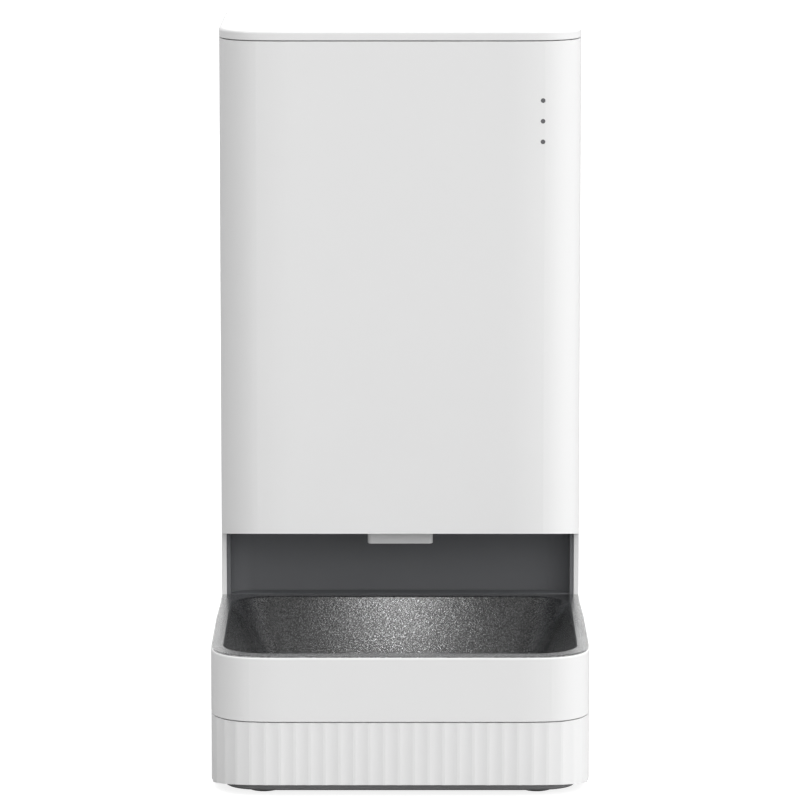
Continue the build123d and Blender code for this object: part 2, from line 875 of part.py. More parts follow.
def gear_points(teeth, y_centre, first_tooth):
    pitch_radius = gear_module * teeth / 2
    base_radius = pitch_radius * cos(pressure)
    root = pitch_radius - dedendum * gear_module
    tip = pitch_radius + addendum * gear_module
    half_tooth = pi / (2 * teeth) - gear_backlash / (2 * pitch_radius)
    steps = 6
    flank = []
    for step in range(steps):
        radius = max(root, base_radius) + (tip - max(root, base_radius)) * step / (steps - 1)
        roll = sqrt(max(0.0, (radius / base_radius) ** 2 - 1))
        turned = sqrt(max(0.0, (pitch_radius / base_radius) ** 2 - 1))
        spread = (turned - atan2(turned, 1)) - (roll - atan2(roll, 1))
        flank.append((radius, half_tooth + spread))
    if root < base_radius:
        flank.insert(0, (root, flank[0][1]))
    points = []
    for tooth in range(teeth):
        middle = first_tooth + 2 * pi * tooth / teeth
        rising = [(radius, middle - turn) for radius, turn in flank]
        falling = [(radius, middle + turn) for radius, turn in reversed(flank)]
        points += [(radius * cos(turn), y_centre + radius * sin(turn)) for radius, turn in rising + falling]
    return points


def gear(teeth, y_centre, first_tooth):
    with BuildSketch(Plane.XY.offset(gear_bottom)) as base:
        with BuildLine():
            Polyline(*gear_points(teeth, y_centre, first_tooth), close=True)
        make_face()
    extrude(base.sketch, amount=gear_height)


with BuildPart() as drive_gear:
    gear(drive_teeth, rotor_y, pi / 2)
    boss_top = gear_bottom + gear_height + bush_flange
    rotor_discs(2 * shaft_radius, gear_plate_top + bush_flange + fit_gap, boss_top)
    rotor_discs(shaft_radius, gear_plate_top, boss_top, Mode.SUBTRACT)
write(drive_gear.part, "drive_gear")

motor_shaft_depth = 8.0
with BuildPart() as motor_pinion:
    gear(pinion_teeth, motor_y, -pi / 2 + pi / pinion_teeth)
    discs(
        [(0, motor_y)],
        motor_shaft_radius,
        gear_plate_bottom - motor_shaft_depth,
        gear_bottom + gear_height + bush_flange,
    )
write(motor_pinion.part, "motor_pinion")

# Gear motor under its plate
motor_boss = 6.0
motor_screw_inset = 5.0
motor_screw_spots = [(side * (motor_radius - motor_screw_inset), motor_y) for side in (-1, 1)]
motor_top = gear_plate_bottom
with BuildPart() as gear_motor:
    discs([(0, motor_y)], motor_radius, motor_top - motor_height / 2, motor_top)
    discs([(0, motor_y)], motor_radius - edge_round, motor_top - motor_height, motor_top - motor_height / 2)
    fillet(edges().group_by(Axis.Z)[0], edge_round)
    discs([(0, motor_y)], motor_boss, motor_top, gear_plate_top)
    discs(
        [(0, motor_y)],
        motor_shaft_radius + running_gap,
        motor_top - motor_shaft_depth - edge_round,
        gear_plate_top,
        Mode.SUBTRACT,
    )
    discs(motor_screw_spots, screw_radius, motor_top - motor_boss, motor_top, Mode.SUBTRACT)
write(gear_motor.part, "gear_motor")

with BuildPart() as motor_screws:
    screw(motor_screw_spots, gear_plate_top, gear_plate_thickness + motor_boss)
write(motor_screws.part, "motor_screws")

plate_margin = 7.0
post_bore = 12.0
with BuildPart() as gear_plate:
    prism(
        round_rectangle(
            post_x + plate_margin,
            post_y_front - plate_margin,
            post_y_rear + plate_margin,
            plate_margin,
        ),
        gear_plate_bottom,
        gear_plate_top,
    )
    discs(post_spots, post_radius, gear_plate_top, deck_bottom)
    discs(post_spots, screw_radius, deck_bottom - post_bore, deck_bottom, Mode.SUBTRACT)
    rotor_discs(bush_radius, gear_plate_bottom, gear_plate_top, Mode.SUBTRACT)
    discs([(0, motor_y)], motor_boss + running_gap, gear_plate_bottom, gear_plate_top, Mode.SUBTRACT)
    discs(motor_screw_spots, screw_radius, gear_plate_bottom, gear_plate_top, Mode.SUBTRACT)
write(gear_plate.part, "gear_plate")

with BuildPart() as gear_plate_screws:
    discs(post_spots, screw_head_radius, deck_top - screw_head, deck_top)
    discs(post_spots, screw_radius, deck_bottom - post_bore + edge_round, deck_top - screw_head)
write(gear_plate_screws.part, "gear_plate_screws")

# Food bin that lifts out of the tower
funnel_half_width = 54.0
funnel_half_depth = 52.0
funnel_corner = 10.0
bin_hole = cup_inner_radius - cup_ledge
bin_lip = 1.2
bin_lip_height = 3.0
bin_y_front = tower_front + bin_setback
funnel_top = bin_bottom + funnel_height


def bin_outline(inset):
    return round_rectangle(bin_half_width - inset, bin_y_front + inset, bin_rear - inset, bin_corner - inset)


def funnel_outline(inset):
    return round_rectangle(
        funnel_half_width - inset,
        rotor_y - funnel_half_depth + inset,
        rotor_y + funnel_half_depth - inset,
        funnel_corner - inset,
    )


with BuildPart() as food_bin:
    tapered(bin_outline(0), funnel_top, funnel_outline(0), bin_bottom)
    prism(bin_outline(0), funnel_top, bin_top)
    prism(bin_outline(-bin_lip), bin_top - bin_lip_height, bin_top)
    tapered(
        bin_outline(bin_wall),
        funnel_top + bin_wall,
        funnel_outline(bin_wall),
        bin_bottom + bin_wall,
        Mode.SUBTRACT,
    )
    prism(bin_outline(bin_wall), funnel_top + bin_wall, bin_top, Mode.SUBTRACT)
    rotor_discs(bin_hole, bin_bottom, bin_bottom + bin_wall, Mode.SUBTRACT)
write(food_bin.part, "food_bin")

with BuildPart() as bin_gasket:
    rotor_discs(cup_outer + cup_flange / 2, cup_top, bin_bottom - fit_gap / 3)
    rotor_discs(bin_hole, cup_top, bin_bottom, Mode.SUBTRACT)
write(bin_gasket.part, "bin_gasket")

# Lid: cover, inner pan, seal and drying agent
cover_skin = 2.0
pan_inset = wall + 1.1
seal_gap = 0.2
seal_bottom = bin_top + seal_gap
seal_height = 2.0
seal_width = 4.0
pan_bottom = seal_bottom + seal_height
pan_top = total_height - cover_skin - fit_gap / 3
plug_inset = bin_wall + 1.8
lid_round = 1.3
bin_middle = (bin_y_front + bin_rear) / 2

with BuildPart() as lid_cover:
    prism(tower_outline(), lid_bottom, total_height)
    fillet(faces().sort_by(Axis.Z)[-1].edges(), lid_round)
    prism(tower_outline(wall), lid_bottom, total_height - cover_skin, Mode.SUBTRACT)
write(lid_cover.part, "lid_cover")

with BuildPart() as lid_pan:
    prism(tower_outline(pan_inset), pan_bottom, pan_top)
    prism(bin_outline(plug_inset), pan_bottom - lid_pan_depth, pan_bottom)
    prism(bin_outline(plug_inset + thin_wall), pan_bottom - lid_pan_depth, pan_bottom, Mode.SUBTRACT)
write(lid_pan.part, "lid_pan")

with BuildPart() as lid_seal:
    prism(bin_outline(-bin_lip), seal_bottom, pan_bottom)
    prism(bin_outline(-bin_lip + seal_width), seal_bottom, pan_bottom, Mode.SUBTRACT)
write(lid_seal.part, "lid_seal")

cup_bottom = pan_bottom - desiccant_height
cover_thickness = 1.6
desiccant_spigot = 4.0


def lid_discs(radius, z_low, z_high, mode=Mode.ADD):
    discs([(0, bin_middle)], radius, z_low, z_high, mode)


with BuildPart() as desiccant_cup:
    lid_discs(desiccant_radius, cup_bottom, pan_bottom)
    lid_discs(desiccant_radius - thin_wall, cup_bottom, pan_bottom - thin_wall, Mode.SUBTRACT)
write(desiccant_cup.part, "desiccant_cup")

spigot_radius = desiccant_radius - thin_wall - fit_gap
with BuildPart() as desiccant_cover:
    lid_discs(desiccant_radius + edge_round, cup_bottom - fit_gap - cover_thickness, cup_bottom - fit_gap)
    fillet(edges().group_by(Axis.Z)[0], edge_round / 2)
    lid_discs(spigot_radius, cup_bottom - fit_gap, cup_bottom + desiccant_spigot)
    lid_discs(spigot_radius - thin_wall, cup_bottom - fit_gap, cup_bottom + desiccant_spigot, Mode.SUBTRACT)
    with BuildSketch(Plane.XY.offset(cup_bottom - fit_gap - cover_thickness)) as slots:
        with Locations((0, bin_middle)):
            with PolarLocations(desiccant_radius / 2, desiccant_slots):
                SlotOverall(desiccant_radius / 2, thin_wall)
    extrude(slots.sketch, amount=cover_thickness, mode=Mode.SUBTRACT)
write(desiccant_cover.part, "desiccant_cover")

sachet_size = 36.0
sachet_height = 9.0
sachet_corner = 4.0
with BuildPart() as desiccant_sachet:
    prism(
        round_rectangle(
            sachet_size / 2, bin_middle - sachet_size / 2, bin_middle + sachet_size / 2, sachet_corner
        ),
        cup_bottom,
        cup_bottom + sachet_height,
    )
    fillet(edges().filter_by(Axis.Z, reverse=True), edge_round * 2)
write(desiccant_sachet.part, "desiccant_sachet")

# Indicators: one light guide with three pins, on a small board
with BuildPart() as indicator_lenses:
    block(
        indicator_x - guide_width / 2,
        indicator_x + guide_width / 2,
        guide_front,
        guide_rear,
        guide_bottom,
        guide_top,
    )
    rods(indicator_spots, indicator_radius, pin_face, guide_front + guide_thickness / 2)
write(indicator_lenses.part, "indicator_lenses")

with BuildPart() as indicator_board:
    block(
        board_left,
        indicator_x + guide_width / 2 + edge_round,
        guide_rear,
        guide_rear + board_thickness,
        guide_bottom - guide_margin,
        guide_top + guide_margin,
    )
write(indicator_board.part, "indicator_board")

# Main board on the shell's rear bosses, with its radio module, connectors and button switch
board_face = board_y - board_thickness
with BuildPart() as main_board:
    block(
        -board_width / 2,
        board_width / 2,
        board_face,
        board_y,
        board_bottom,
        board_bottom + board_height,
    )
    fillet(edges().filter_by(Axis.Y), edge_round)
    rods(board_spots, screw_radius, board_face, board_y, Mode.SUBTRACT)
write(main_board.part, "main_board")

radio_width = 16.0
radio_height = 20.0
radio_thickness = 2.6
radio_x = -28.0
radio_inset = 4.0
radio_z = board_bottom + board_height - radio_height - radio_inset
with BuildPart() as radio_module:
    block(
        radio_x,
        radio_x + radio_width,
        board_face - radio_thickness,
        board_face,
        radio_z,
        radio_z + radio_height,
    )
    fillet(edges().filter_by(Axis.Y), edge_round / 2)
write(radio_module.part, "radio_module")

plug_width = 9.0
plug_height = 6.0
plug_depth = 6.0
plug_pitch = 18.0
plug_spots = [(x, board_bottom + plug_height) for x in (-plug_pitch, 0, plug_pitch)]
with BuildPart() as board_connectors:
    with BuildSketch(Plane.XZ.offset(-board_face)) as plugs:
        with Locations(*plug_spots):
            Rectangle(plug_width, plug_height)
    extrude(plugs.sketch, amount=plug_depth)
write(board_connectors.part, "board_connectors")

with BuildPart() as board_screws:
    rods(board_spots, screw_head_radius, board_face - screw_head, board_face)
    rods(board_spots, screw_radius, board_face, tower_rear - wall)
write(board_screws.part, "board_screws")

# Feed button at the rear, sprung by the dome of its switch
button_flange = 1.4
button_inner = tower_rear - wall - fit_gap
with BuildPart() as feed_button:
    rods(button_spot, button_radius, button_inner - button_flange / 2, tower_rear + button_proud)
    fillet(edges().filter_by(GeomType.CIRCLE).group_by(Axis.Y)[-1], edge_round / 2)
    rods(button_spot, button_radius + button_flange, button_inner - button_flange / 2, button_inner)
write(feed_button.part, "feed_button")

switch_size = 6.0
switch_top = button_inner - button_flange / 2 - button_travel - fit_gap / 2
with BuildPart() as button_switch:
    block(
        button_x - switch_size / 2,
        button_x + switch_size / 2,
        board_y,
        switch_top - edge_round,
        button_height - switch_size / 2,
        button_height + switch_size / 2,
    )
    rods(button_spot, screw_radius, switch_top - edge_round, switch_top)
write(button_switch.part, "button_switch")

# Low voltage socket at the rear
with BuildPart() as power_inlet:
    rods(inlet_spot, inlet_radius, tower_rear - inlet_length, tower_rear)
    fillet(edges().filter_by(GeomType.CIRCLE).group_by(Axis.Y)[-1], edge_round / 2)
    rods(
        inlet_spot,
        inlet_radius + wall,
        tower_rear - wall - fit_gap - wall,
        tower_rear - wall - fit_gap,
    )
    rods(inlet_spot, socket_radius, tower_rear - socket_depth, tower_rear, Mode.SUBTRACT)
    rods(inlet_spot, socket_pin_radius, tower_rear - socket_depth, tower_rear - edge_round)
write(power_inlet.part, "power_inlet")

# Infrared pair beside the foot of the chute
sensor_width = 4.0
sensor_height = 6.0
sensor_x = nozzle_width / 2 + edge_round
sensor_y = (nozzle_y + nozzle_rear) / 2
with BuildPart() as chute_sensors:
    square(
        [(side * (sensor_x + sensor_width / 2), sensor_y) for side in (-1, 1)],
        sensor_width,
        sensor_height,
        nozzle_collar - fit_gap,
        nozzle_collar + sensor_height - 2 * fit_gap,
    )
write(chute_sensors.part, "chute_sensors")


# Internal wires, each on straight runs joined by tangent arcs
def corner_radii(points):
    # As large an arc as the two runs at each corner allow, up to the wires' usual bend.
    radii = []
    for before, here, after in zip(points, points[1:], points[2:]):
        arriving = Vector(*here) - Vector(*before)
        leaving = Vector(*after) - Vector(*here)
        half_turn = radians(arriving.get_angle(leaving)) / 2
        room = wire_turn * min(arriving.length, leaving.length) * cos(half_turn) / sin(half_turn)
        radii.append(min(room, wire_bend))
    return radii


def wire(points):
    with BuildLine() as route:
        FilletPolyline(*points, radius=corner_radii(points))
    path = route.wires()[0]
    with BuildSketch(Plane(origin=path @ 0, z_dir=path % 0)) as section:
        Circle(wire_radius)
    sweep(section.sketch, path=path)


plug_bottom = board_bottom + plug_height / 2
plug_middle = board_face - plug_depth / 2
plug_front = board_face - plug_depth
loop_drop = 16.0
motor_bottom = motor_top - motor_height
with BuildPart() as motor_lead:
    wire(
        [
            (0, plug_middle, plug_bottom),
            (0, plug_middle, motor_bottom - loop_drop),
            (0, motor_y + motor_radius / 2, motor_bottom - loop_drop),
            (0, motor_y + motor_radius / 2, motor_bottom),
        ]
    )
write(motor_lead.part, "motor_lead")

inlet_plug_x, inlet_plug_z = plug_spots[0]
inlet_front = tower_rear - inlet_length
loop_reach = 13.0
with BuildPart() as inlet_lead:
    wire(
        [
            (inlet_x, inlet_front, inlet_height),
            (inlet_x, inlet_front - loop_reach, inlet_height),
            (inlet_plug_x, plug_front - loop_reach, inlet_plug_z),
            (inlet_plug_x, plug_front, inlet_plug_z),
        ]
    )
write(inlet_lead.part, "inlet_lead")

indicator_plug_x, indicator_plug_z = plug_spots[2]
wire_drop = 18.0
wire_low = deck_bottom - wire_drop
with BuildPart() as indicator_lead:
    wire(
        [
            (wire_x, wire_y, guide_bottom - guide_margin),
            (wire_x, wire_y, wire_low),
            (wire_x, motor_y, wire_low),
            (wire_x / 2, motor_y + motor_radius, gear_plate_bottom - motor_boss),
            (indicator_plug_x, plug_front - loop_reach, indicator_plug_z),
            (indicator_plug_x, plug_front, indicator_plug_z),
        ]
    )
write(indicator_lead.part, "indicator_lead")
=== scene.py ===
import json
import math

import bmesh
import bpy
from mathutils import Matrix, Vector, noise


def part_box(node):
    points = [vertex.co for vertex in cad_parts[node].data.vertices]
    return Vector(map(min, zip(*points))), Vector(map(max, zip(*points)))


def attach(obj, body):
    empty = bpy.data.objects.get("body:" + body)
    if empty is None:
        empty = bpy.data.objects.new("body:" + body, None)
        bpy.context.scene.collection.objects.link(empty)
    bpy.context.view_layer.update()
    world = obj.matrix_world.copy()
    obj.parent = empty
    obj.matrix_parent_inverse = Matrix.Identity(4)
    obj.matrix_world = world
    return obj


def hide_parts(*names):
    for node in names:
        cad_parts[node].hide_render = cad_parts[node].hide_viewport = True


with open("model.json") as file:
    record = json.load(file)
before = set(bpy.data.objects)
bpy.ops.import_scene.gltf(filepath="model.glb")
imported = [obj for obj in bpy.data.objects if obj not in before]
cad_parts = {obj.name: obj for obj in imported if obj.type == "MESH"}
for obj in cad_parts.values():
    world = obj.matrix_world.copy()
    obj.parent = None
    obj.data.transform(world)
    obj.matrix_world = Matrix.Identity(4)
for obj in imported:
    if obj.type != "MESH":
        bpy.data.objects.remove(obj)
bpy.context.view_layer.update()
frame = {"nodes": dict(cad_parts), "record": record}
nodes = frame["nodes"]
slotOfNode = {part["node"]: part["material_slot"] for part in frame["record"]["subparts"]}
scene = bpy.context.scene
print("frame loaded:", len(nodes), "nodes")


# Camera

cameraSet = {
    "fromFront": 2.5964,    # metres in front of the base
    "baseFront": -0.1575,
    "height": 0.5960,
    "pitch": 8.56,          # degrees down
    "sideShift": -0.00015,
    "focal": 5202.7,        # in pixels of the picture
    "pictureWidth": 800,
    "sensor": 36.0,
    "farEnd": 60,
}


def makeCamera(look):
    data = bpy.data.cameras.new("studioCamera")
    data.sensor_width = look["sensor"]
    data.lens = look["focal"] / look["pictureWidth"] * look["sensor"]
    data.clip_end = look["farEnd"]
    camera = bpy.data.objects.new("studioCamera", data)
    scene.collection.objects.link(camera)
    camera.location = (look["sideShift"], look["baseFront"] - look["fromFront"], look["height"])
    camera.rotation_euler = (math.radians(90 - look["pitch"]), 0, 0)
    scene.camera = camera


makeCamera(cameraSet)
print("camera placed")


# Node helpers

def link(tree, source, target):
    tree.links.new(source, target)


def addNode(tree, kind, **settings):
    node = tree.nodes.new(kind)
    for name, value in settings.items():
        setattr(node, name, value)
    return node


def mathNode(tree, operation, first, second=None, clamp=False):
    node = addNode(tree, "ShaderNodeMath", operation=operation, use_clamp=clamp)
    for place, value in enumerate((first, second)):
        if value is None:
            continue
        if isinstance(value, bpy.types.NodeSocket):
            link(tree, value, node.inputs[place])
        else:
            node.inputs[place].default_value = value
    return node.outputs[0]


def mixColour(tree, factor, first, second):
    node = addNode(tree, "ShaderNodeMix", data_type="RGBA")
    for socket, value in ((node.inputs[0], factor), (node.inputs[6], first), (node.inputs[7], second)):
        if isinstance(value, bpy.types.NodeSocket):
            link(tree, value, socket)
        else:
            socket.default_value = value
    return node.outputs[2]


def newGroup(name, inputs, outputs):
    tree = bpy.data.node_groups.new(name, "ShaderNodeTree")
    for label, value in inputs.items():
        socket = tree.interface.new_socket(label, in_out="INPUT", socket_type="NodeSocketFloat")
        socket.default_value = value
    for label in outputs:
        tree.interface.new_socket(label, in_out="OUTPUT", socket_type="NodeSocketFloat")
    return tree, tree.nodes.new("NodeGroupInput"), tree.nodes.new("NodeGroupOutput")


def useGroup(tree, name, values):
    node = addNode(tree, "ShaderNodeGroup")
    node.node_tree = bpy.data.node_groups[name]
    for label, value in values.items():
        node.inputs[label].default_value = value
    return node


# Surface effects that several materials share

effects = {
    "mottleScale": 30,
    "grain": {"Detail": 3, "Roughness": 0.6},
    "mottle": {"Detail": 4},
    "breakup": {"Detail": 4},
    "smudge": {"Detail": 5, "Distortion": 0.6},
    "facets": {"Detail": 1},
    "bevelSamples": 4,
    "edgeGain": 6.0,
    "wornPolish": -0.08,    # change of roughness on a worn edge
    "grainHeight": 0.0002,
    "paintedGlintDark": 0.3,       # darkest facet of the painted glints, of the metal's colour
}


def noiseTexture(tree, scale, settings):
    # Noise in the object's own space, so that it rides with the piece.
    place = addNode(tree, "ShaderNodeTexCoord")
    texture = addNode(tree, "ShaderNodeTexNoise")
    link(tree, place.outputs["Object"], texture.inputs["Vector"])
    link(tree, scale, texture.inputs["Scale"])
    for label, value in settings.items():
        texture.inputs[label].default_value = value
    return texture.outputs["Fac"]


def makeGrainGroup(look):
    # Fine pits of a spark-eroded mould, and a slow mottle of its polish.
    inputs = {"Scale": 1500, "Mottle Scale": look["mottleScale"]}
    tree, given, result = newGroup("mouldGrain", inputs, ("Height", "Mottle"))
    link(tree, noiseTexture(tree, given.outputs["Scale"], look["grain"]), result.inputs["Height"])
    link(tree, noiseTexture(tree, given.outputs["Mottle Scale"], look["mottle"]), result.inputs["Mottle"])


def makeWearGroup(look):
    # Where an edge turns, broken up so that it wears unevenly.
    tree, given, result = newGroup("edgeWear", {"Radius": 0.0008, "Amount": 0.5, "Breakup": 240}, ("Mask",))
    soft = addNode(tree, "ShaderNodeBevel", samples=look["bevelSamples"])
    link(tree, given.outputs["Radius"], soft.inputs["Radius"])
    plain = addNode(tree, "ShaderNodeNewGeometry")
    turn = addNode(tree, "ShaderNodeVectorMath", operation="DOT_PRODUCT")
    link(tree, soft.outputs["Normal"], turn.inputs[0])
    link(tree, plain.outputs["Normal"], turn.inputs[1])
    edge = mathNode(tree, "SUBTRACT", 1.0, turn.outputs["Value"])
    edge = mathNode(tree, "MULTIPLY", edge, look["edgeGain"], clamp=True)
    breakup = noiseTexture(tree, given.outputs["Breakup"], look["breakup"])
    worn = mathNode(tree, "MULTIPLY", edge, breakup)
    worn = mathNode(tree, "MULTIPLY", worn, given.outputs["Amount"], clamp=True)
    link(tree, worn, result.inputs["Mask"])


def makeHandlingGroup(look):
    # Smudges and fine dust, as a change of roughness round zero.
    tree, given, result = newGroup("handling", {"Scale": 18, "Spread": 0.1}, ("Change",))
    smudge = noiseTexture(tree, given.outputs["Scale"], look["smudge"])
    centred = mathNode(tree, "SUBTRACT", smudge, 0.5)
    link(tree, mathNode(tree, "MULTIPLY", centred, given.outputs["Spread"]), result.inputs["Change"])


def makePaintedGlintGroup(look):
    # Painted glints: facets that bead blasting leaves, each painted a little brighter or darker than the
    # next, for the way they catch the light.
    tree, given, result = newGroup("paintedGlintSpeckle", {"Scale": 1300, "Contrast": 4, "Amount": 0.5}, ("Mask",))
    facets = noiseTexture(tree, given.outputs["Scale"], look["facets"])
    centred = mathNode(tree, "SUBTRACT", facets, 0.5)
    sharp = mathNode(tree, "MULTIPLY", centred, given.outputs["Contrast"])
    sharp = mathNode(tree, "ADD", sharp, 0.5, clamp=True)
    link(tree, mathNode(tree, "MULTIPLY", sharp, given.outputs["Amount"]), result.inputs["Mask"])


makeGrainGroup(effects)
makeWearGroup(effects)
makeHandlingGroup(effects)
makePaintedGlintGroup(effects)


# Finishes, one for each material slot of the record

finishes = {
    "white_plastic": {
        "colour": (0.70, 0.70, 0.70), "shade": 0.985, "worn": (0.80, 0.80, 0.80), "roughness": 0.42,
        "spread": 0.06, "grain": 1400, "depth": 0.05, "wear": 0.25},
    # The liner's dark grey is partly its own tone and partly painted shade for the recess under the tower's
    # overhang.
    "dark_liner": {
        "colour": (0.135, 0.138, 0.145), "shade": 0.92, "worn": (0.22, 0.22, 0.23), "roughness": 0.6,
        "spread": 0.08, "grain": 1100, "depth": 0.12, "wear": 0.25, "gloss": 0.2},
    "underside_grey": {
        "colour": (0.25, 0.25, 0.255), "shade": 0.9, "worn": (0.34, 0.34, 0.34), "roughness": 0.62,
        "spread": 0.1, "grain": 900, "depth": 0.2, "wear": 0.4},
    "foot_rubber": {
        "colour": (0.13, 0.13, 0.13), "shade": 0.85, "worn": (0.2, 0.2, 0.2), "roughness": 0.85,
        "spread": 0.1, "grain": 700, "depth": 0.3, "wear": 0.5},
    "bowl_steel": {
        "colour": (0.82, 0.825, 0.83), "shade": 0.9, "worn": (0.68, 0.68, 0.68), "roughness": 0.19,
        "spread": 0.08, "grain": 900, "depth": 0.75, "wear": 0.3, "metallic": 1.0, "paintedGlints": 0.8},
    "inner_plastic": {
        "colour": (0.50, 0.51, 0.52), "shade": 0.95, "worn": (0.6, 0.6, 0.6), "roughness": 0.5,
        "spread": 0.08, "grain": 1000, "depth": 0.1, "wear": 0.3},
    "bin_plastic": {
        "colour": (0.62, 0.64, 0.66), "shade": 0.96, "worn": (0.72, 0.73, 0.74), "roughness": 0.22,
        "spread": 0.08, "grain": 500, "depth": 0.03, "wear": 0.25},
    "silicone": {
        "colour": (0.60, 0.60, 0.58), "shade": 0.93, "worn": (0.68, 0.68, 0.66), "roughness": 0.55,
        "spread": 0.1, "grain": 800, "depth": 0.08, "wear": 0.2},
    "gear_plastic": {
        "colour": (0.76, 0.74, 0.69), "shade": 0.95, "worn": (0.84, 0.83, 0.8), "roughness": 0.4,
        "spread": 0.08, "grain": 900, "depth": 0.06, "wear": 0.4},
    "steel": {
        "colour": (0.56, 0.56, 0.55), "shade": 0.85, "worn": (0.7, 0.7, 0.7), "roughness": 0.28,
        "spread": 0.12, "grain": 1200, "depth": 0.1, "wear": 0.5, "metallic": 1.0},
    "bronze": {
        "colour": (0.42, 0.27, 0.12), "shade": 0.75, "worn": (0.6, 0.42, 0.22), "roughness": 0.45,
        "spread": 0.12, "grain": 2200, "depth": 0.3, "wear": 0.5, "metallic": 1.0},
    "motor_can": {
        "colour": (0.5, 0.5, 0.51), "shade": 0.85, "worn": (0.65, 0.65, 0.65), "roughness": 0.36,
        "spread": 0.12, "grain": 700, "depth": 0.12, "wear": 0.4, "metallic": 1.0},
    "contact_metal": {
        "colour": (0.66, 0.64, 0.58), "shade": 0.85, "worn": (0.78, 0.77, 0.74), "roughness": 0.22,
        "spread": 0.1, "grain": 900, "depth": 0.05, "wear": 0.4, "metallic": 1.0},
    "indicator_grey": {
        "colour": (0.12, 0.12, 0.125), "shade": 0.95, "worn": (0.2, 0.2, 0.2), "roughness": 0.4,
        "spread": 0.05, "grain": 900, "depth": 0.04, "wear": 0.1},
    "circuit_board": {
        "colour": (0.02, 0.12, 0.05), "shade": 0.7, "worn": (0.28, 0.3, 0.16), "roughness": 0.35,
        "spread": 0.1, "grain": 1500, "depth": 0.06, "wear": 0.6},
    "shield_metal": {
        "colour": (0.62, 0.62, 0.61), "shade": 0.85, "worn": (0.74, 0.74, 0.74), "roughness": 0.3,
        "spread": 0.1, "grain": 900, "depth": 0.06, "wear": 0.4, "metallic": 1.0},
    "connector_nylon": {
        "colour": (0.72, 0.69, 0.60), "shade": 0.93, "worn": (0.8, 0.78, 0.72), "roughness": 0.5,
        "spread": 0.08, "grain": 1000, "depth": 0.08, "wear": 0.3},
    "black_plastic": {
        "colour": (0.018, 0.018, 0.02), "shade": 0.8, "worn": (0.09, 0.09, 0.09), "roughness": 0.42,
        "spread": 0.1, "grain": 1100, "depth": 0.1, "wear": 0.4},
    "wire_sleeve": {
        "colour": (0.02, 0.02, 0.022), "shade": 0.8, "worn": (0.07, 0.07, 0.07), "roughness": 0.48,
        "spread": 0.08, "grain": 1400, "depth": 0.06, "wear": 0.2},
    "sachet_paper": {
        "colour": (0.74, 0.73, 0.69), "shade": 0.88, "worn": (0.8, 0.79, 0.76), "roughness": 0.8,
        "spread": 0.08, "grain": 1600, "depth": 0.35, "wear": 0.1},
}


def makeFinish(name, look):
    material = bpy.data.materials.new(name)
    material.use_nodes = True
    tree = material.node_tree
    shader = tree.nodes["Principled BSDF"]
    grain = useGroup(tree, "mouldGrain", {"Scale": look["grain"], "Mottle Scale": effects["mottleScale"]})
    wear = useGroup(tree, "edgeWear", {"Amount": look["wear"]})
    marks = useGroup(tree, "handling", {"Spread": look["spread"]})
    base = (*look["colour"], 1)
    shaded = (*(value * look["shade"] for value in look["colour"]), 1)
    colour = mixColour(tree, grain.outputs["Mottle"], base, shaded)
    # Painted glints: facets darkened at random in the steel's colour, standing in for the sparkle that
    # light gives blasted steel.
    if "paintedGlints" in look:
        paintedGlints = useGroup(tree, "paintedGlintSpeckle", {"Amount": look["paintedGlints"]})
        dark = (*(value * effects["paintedGlintDark"] for value in look["colour"]), 1)
        colour = mixColour(tree, paintedGlints.outputs["Mask"], colour, dark)
    colour = mixColour(tree, wear.outputs["Mask"], colour, (*look["worn"], 1))
    link(tree, colour, shader.inputs["Base Color"])
    rough = mathNode(tree, "ADD", marks.outputs["Change"], look["roughness"])
    polish = mathNode(tree, "MULTIPLY", wear.outputs["Mask"], effects["wornPolish"])
    rough = mathNode(tree, "ADD", rough, polish, clamp=True)
    link(tree, rough, shader.inputs["Roughness"])
    shader.inputs["Metallic"].default_value = look.get("metallic", 0)
    shader.inputs["Specular IOR Level"].default_value = look.get("gloss", 0.5)
    bump = addNode(tree, "ShaderNodeBump")
    bump.inputs["Strength"].default_value = look["depth"]
    bump.inputs["Distance"].default_value = effects["grainHeight"]
    link(tree, grain.outputs["Height"], bump.inputs["Height"])
    link(tree, bump.outputs["Normal"], shader.inputs["Normal"])
    return material


materials = {name: makeFinish(name, look) for name, look in finishes.items()}
for name, node in nodes.items():
    node.data.materials.clear()
    node.data.materials.append(materials[slotOfNode[name]])
print("finishes set:", len(materials))


# Geometry trees for what repeats: screws, feet and grip ribs

def newGeometryTree(name, inputs):
    tree = bpy.data.node_groups.new(name, "GeometryNodeTree")
    tree.interface.new_socket("Geometry", in_out="INPUT", socket_type="NodeSocketGeometry")
    for label, kind in inputs.items():
        tree.interface.new_socket(label, in_out="INPUT", socket_type="NodeSocket" + kind)
    tree.interface.new_socket("Geometry", in_out="OUTPUT", socket_type="NodeSocketGeometry")
    return tree, tree.nodes.new("NodeGroupInput"), tree.nodes.new("NodeGroupOutput")


def setInputs(tree, node, values):
    for label, value in values.items():
        if isinstance(value, bpy.types.NodeSocket):
            link(tree, value, node.inputs[label])
        else:
            node.inputs[label].default_value = value
    return node


def combine(tree, x, y, z):
    return setInputs(tree, addNode(tree, "ShaderNodeCombineXYZ"), {"X": x, "Y": y, "Z": z}).outputs[0]


def turnedBar(tree, radius, length, sides, rings):
    # A round bar along Z, centred.
    node = addNode(tree, "GeometryNodeMeshCylinder", fill_type="NGON")
    setInputs(tree, node, {"Vertices": sides, "Side Segments": rings, "Radius": radius, "Depth": length})
    return node.outputs["Mesh"]


